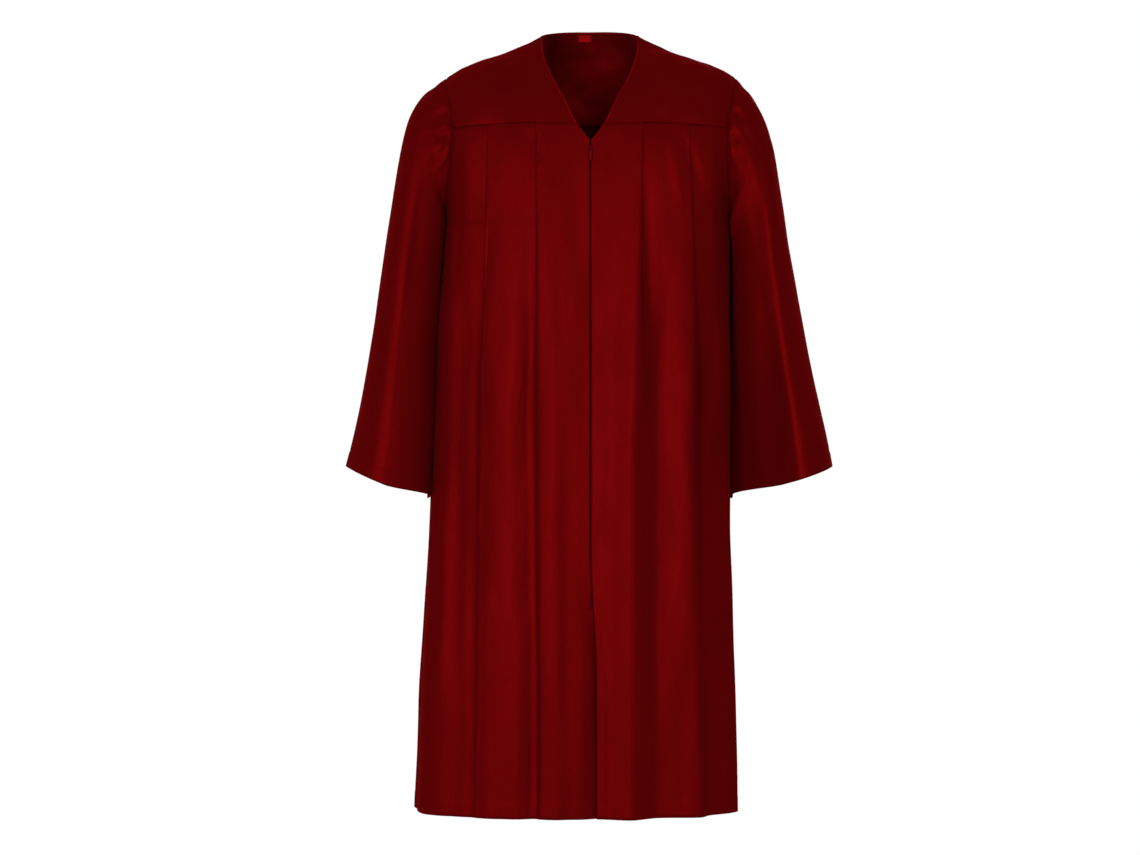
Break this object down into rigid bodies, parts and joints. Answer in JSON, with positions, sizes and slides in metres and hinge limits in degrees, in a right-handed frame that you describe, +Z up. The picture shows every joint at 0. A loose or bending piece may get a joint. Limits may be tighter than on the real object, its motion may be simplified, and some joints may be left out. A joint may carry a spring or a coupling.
{
  "type": "graduation gown",
  "caption": "Long zip-front academic gown with a yoked, pleated front, a fluted back and open bell sleeves, standing hollow as worn.",
  "frame": {"origin": "middle of the neck, level with the inner ends of the shoulder seams, where the wearer's shoulders hold the gown", "axes": "+Z up along the gown's length, -Y towards the front where the zip is, +X towards the wearer's left sleeve"},
  "size_m": [0.7553, 0.3461, 1.2136],
  "materials": {
    "satin": "soft polyester satin sheen",
    "zip_tape": "matt woven tape",
    "label": "woven, blank",
    "zip_enamel": "self-coloured enamel"
  },
  "bodies": {
    "gown": {"back": "satin", "back_yoke": "satin", "front_left": "satin", "front_right": "satin", "front_yoke_left": "satin", "front_yoke_right": "satin", "sleeve_left": "satin", "sleeve_right": "satin", "zip_tape_left": "zip_tape", "zip_tape_right": "zip_tape", "zip_slider": "zip_enamel", "neck_label": "label"},
    "pull": {"zip_pull": "zip_enamel"}
  },
  "joints": [
    {"name": "pull_hinge", "type": "hinge", "parent": "gown", "child": "pull", "pos_m": [0, -0.12239, -0.18562], "axis": [-1, 0, 0], "range_deg": [0, 150]}
  ]
}
